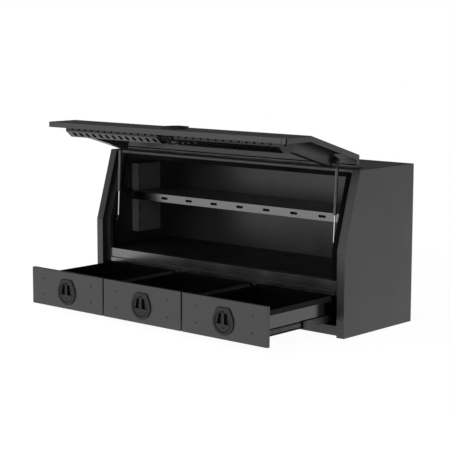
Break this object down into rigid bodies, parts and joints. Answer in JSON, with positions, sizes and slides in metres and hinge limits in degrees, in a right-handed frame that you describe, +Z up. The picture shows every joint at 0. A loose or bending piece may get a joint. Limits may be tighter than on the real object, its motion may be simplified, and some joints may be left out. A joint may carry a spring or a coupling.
{
  "type": "pick-up tray toolbox",
  "caption": "Powder-coated aluminium toolbox with a sloped gull-wing lid on gas struts, a slotted inner shelf and a row of drawers with folding-handle locks.",
  "frame": {"origin": "middle of the footprint, on the ground", "axes": "+X along the box to its right-hand end, -Y out of the front, +Z up"},
  "size_m": [1.8, 1.1515, 1.048],
  "materials": {
    "outer_coat": "fine-textured satin black powder coat",
    "inner_coat": "matt black powder coat",
    "shelf_coat": "satin black powder coat",
    "seal_rubber": "soft black bulb seal",
    "runner_steel": "zinc-plated steel",
    "hinge_steel": "blackened steel",
    "screw_steel": "dark plated steel",
    "black_plastic": "black glass-filled plastic",
    "lock_metal": "dark cast zinc",
    "strut_chrome": "hard-chromed rod",
    "strut_black": "gloss black tube"
  },
  "bodies": {
    "box": {"side_panel_left": "outer_coat", "side_panel_right": "outer_coat", "roof_and_back_panel": "outer_coat", "base_panel": "outer_coat", "bottom_rail": "outer_coat", "compartment_floor": "inner_coat", "sill_rail": "shelf_coat", "header_rail": "outer_coat", "opening_seal": "seal_rubber", "shelf": "shelf_coat", "shelf_column_left": "outer_coat", "shelf_column_right": "outer_coat", "shelf_brackets": "black_plastic", "drawer_dividers": "inner_coat", "bay_walls": "inner_coat", "runner_outer_members": "runner_steel", "hinge_leaf_fixed": "hinge_steel", "hinge_pin": "hinge_steel", "strut_lower_studs": "hinge_steel"},
    "lid": {"lid_skin": "outer_coat", "lid_channel_left": "outer_coat", "lid_channel_right": "outer_coat", "lid_stiffener_left": "outer_coat", "lid_stiffener_right": "outer_coat", "lid_latch_strap": "outer_coat", "hinge_leaf_moving": "hinge_steel", "strut_upper_studs": "hinge_steel", "lid_lock_base": "black_plastic"},
    "lid_lock_spindle": {"lid_lock_spindle": "lock_metal"},
    "lid_lock_handle": {"lid_lock_handle": "black_plastic"},
    "latch_rod_right": {"latch_rod_right": "runner_steel"},
    "latch_rod_left": {"latch_rod_left": "runner_steel"},
    "drawer_1": {"drawer_1_front": "outer_coat", "drawer_1_tray": "inner_coat", "drawer_1_screws": "screw_steel", "drawer_1_runner_inner": "runner_steel", "drawer_1_lock_base": "black_plastic"},
    "drawer_1_runner_middle": {"drawer_1_runner_middle": "runner_steel"},
    "drawer_1_lock_spindle": {"drawer_1_lock_spindle": "lock_metal"},
    "drawer_1_lock_handle": {"drawer_1_lock_handle": "black_plastic"},
    "drawer_2": {"drawer_2_front": "outer_coat", "drawer_2_tray": "inner_coat", "drawer_2_screws": "screw_steel", "drawer_2_runner_inner": "runner_steel", "drawer_2_lock_base": "black_plastic"},
    "drawer_2_runner_middle": {"drawer_2_runner_middle": "runner_steel"},
    "drawer_2_lock_spindle": {"drawer_2_lock_spindle": "lock_metal"},
    "drawer_2_lock_handle": {"drawer_2_lock_handle": "black_plastic"},
    "drawer_3": {"drawer_3_front": "outer_coat", "drawer_3_tray": "inner_coat", "drawer_3_screws": "screw_steel", "drawer_3_runner_inner": "runner_steel", "drawer_3_lock_base": "black_plastic"},
    "drawer_3_runner_middle": {"drawer_3_runner_middle": "runner_steel"},
    "drawer_3_lock_spindle": {"drawer_3_lock_spindle": "lock_metal"},
    "drawer_3_lock_handle": {"drawer_3_lock_handle": "black_plastic"},
    "strut_left_rod": {"strut_left_rod": "strut_chrome"},
    "strut_left_cylinder": {"strut_left_cylinder": "strut_black"},
    "strut_right_rod": {"strut_right_rod": "strut_chrome"},
    "strut_right_cylinder": {"strut_right_cylinder": "strut_black"}
  },
  "joints": [
    {"name": "lid_hinge", "type": "hinge", "parent": "box", "child": "lid", "pos_m": [0, -0.112, 0.852], "axis": [1, 0, 0], "range_deg": [0, 90]},
    {"name": "lid_lock_turn", "type": "hinge", "parent": "lid", "child": "lid_lock_spindle", "pos_m": [0, -0.592, 1.04], "axis": [0, 0, 1], "range_deg": [0, 90]},
    {"name": "lid_lock_lift", "type": "hinge", "parent": "lid_lock_spindle", "child": "lid_lock_handle", "pos_m": [0, -0.548, 1.0405], "axis": [-1, 0, 0], "range_deg": [0, 80]},
    {"name": "latch_rod_right_slide", "type": "slide", "parent": "lid", "child": "latch_rod_right", "axis": [1, 0, 0], "range_m": [0, 0.04243]},
    {"name": "latch_rod_left_slide", "type": "slide", "parent": "lid", "child": "latch_rod_left", "axis": [-1, 0, 0], "range_m": [0, 0.04243]},
    {"name": "drawer_1_slide", "type": "slide", "parent": "box", "child": "drawer_1", "axis": [0, 1, 0], "range_m": [0, 0.5435]},
    {"name": "drawer_1_runner_middle_slide", "type": "slide", "parent": "box", "child": "drawer_1_runner_middle", "axis": [0, 1, 0], "range_m": [0, 0.27175]},
    {"name": "drawer_1_lock_turn", "type": "hinge", "parent": "drawer_1", "child": "drawer_1_lock_spindle", "pos_m": [-0.56867, -0.8435, 0.129], "axis": [0, -1, 0], "range_deg": [0, 90]},
    {"name": "drawer_1_lock_lift", "type": "hinge", "parent": "drawer_1_lock_spindle", "child": "drawer_1_lock_handle", "pos_m": [-0.56867, -0.844, 0.173], "axis": [-1, 0, 0], "range_deg": [0, 80]},
    {"name": "drawer_2_slide", "type": "slide", "parent": "box", "child": "drawer_2", "axis": [0, 1, 0], "range_m": [0, 0.5435]},
    {"name": "drawer_2_runner_middle_slide", "type": "slide", "parent": "box", "child": "drawer_2_runner_middle", "axis": [0, 1, 0], "range_m": [0, 0.27175]},
    {"name": "drawer_2_lock_turn", "type": "hinge", "parent": "drawer_2", "child": "drawer_2_lock_spindle", "pos_m": [0, -0.8435, 0.129], "axis": [0, -1, 0], "range_deg": [0, 90]},
    {"name": "drawer_2_lock_lift", "type": "hinge", "parent": "drawer_2_lock_spindle", "child": "drawer_2_lock_handle", "pos_m": [0, -0.844, 0.173], "axis": [-1, 0, 0], "range_deg": [0, 80]},
    {"name": "drawer_3_slide", "type": "slide", "parent": "box", "child": "drawer_3", "axis": [0, 1, 0], "range_m": [0, 0.5435]},
    {"name": "drawer_3_runner_middle_slide", "type": "slide", "parent": "box", "child": "drawer_3_runner_middle", "axis": [0, 1, 0], "range_m": [0, 0.27175]},
    {"name": "drawer_3_lock_turn", "type": "hinge", "parent": "drawer_3", "child": "drawer_3_lock_spindle", "pos_m": [0.56867, -0.8435, 0.129], "axis": [0, -1, 0], "range_deg": [0, 90]},
    {"name": "drawer_3_lock_lift", "type": "hinge", "parent": "drawer_3_lock_spindle", "child": "drawer_3_lock_handle", "pos_m": [0.56867, -0.844, 0.173], "axis": [-1, 0, 0], "range_deg": [0, 80]},
    {"name": "strut_left_swing", "type": "hinge", "parent": "box", "child": "strut_left_rod", "pos_m": [-0.783, -0.24, 0.455], "axis": [1, 0, 0], "range_deg": [-12.94, 0]},
    {"name": "strut_left_stroke", "type": "slide", "parent": "strut_left_rod", "child": "strut_left_cylinder", "axis": [0, 0.052, 0.9986], "range_m": [-0.13953, 0]},
    {"name": "strut_right_swing", "type": "hinge", "parent": "box", "child": "strut_right_rod", "pos_m": [0.783, -0.24, 0.455], "axis": [1, 0, 0], "range_deg": [-12.94, 0]},
    {"name": "strut_right_stroke", "type": "slide", "parent": "strut_right_rod", "child": "strut_right_cylinder", "axis": [0, 0.052, 0.9986], "range_m": [-0.13953, 0]}
  ],
  "couplings": [
    {"joint": "latch_rod_right_slide", "follows": "lid_lock_turn", "m_per_rad": 0.027009},
    {"joint": "latch_rod_left_slide", "follows": "lid_lock_turn", "m_per_rad": 0.027009},
    {"joint": "drawer_1_runner_middle_slide", "follows": "drawer_1_slide", "ratio": 0.5},
    {"joint": "drawer_2_runner_middle_slide", "follows": "drawer_2_slide", "ratio": 0.5},
    {"joint": "drawer_3_runner_middle_slide", "follows": "drawer_3_slide", "ratio": 0.5},
    {"joint": "strut_left_swing", "follows": "lid_hinge", "ratio": -0.14321},
    {"joint": "strut_left_stroke", "follows": "lid_hinge", "m_per_rad": -0.08851},
    {"joint": "strut_right_swing", "follows": "lid_hinge", "ratio": -0.14321},
    {"joint": "strut_right_stroke", "follows": "lid_hinge", "m_per_rad": -0.08851}
  ]
}
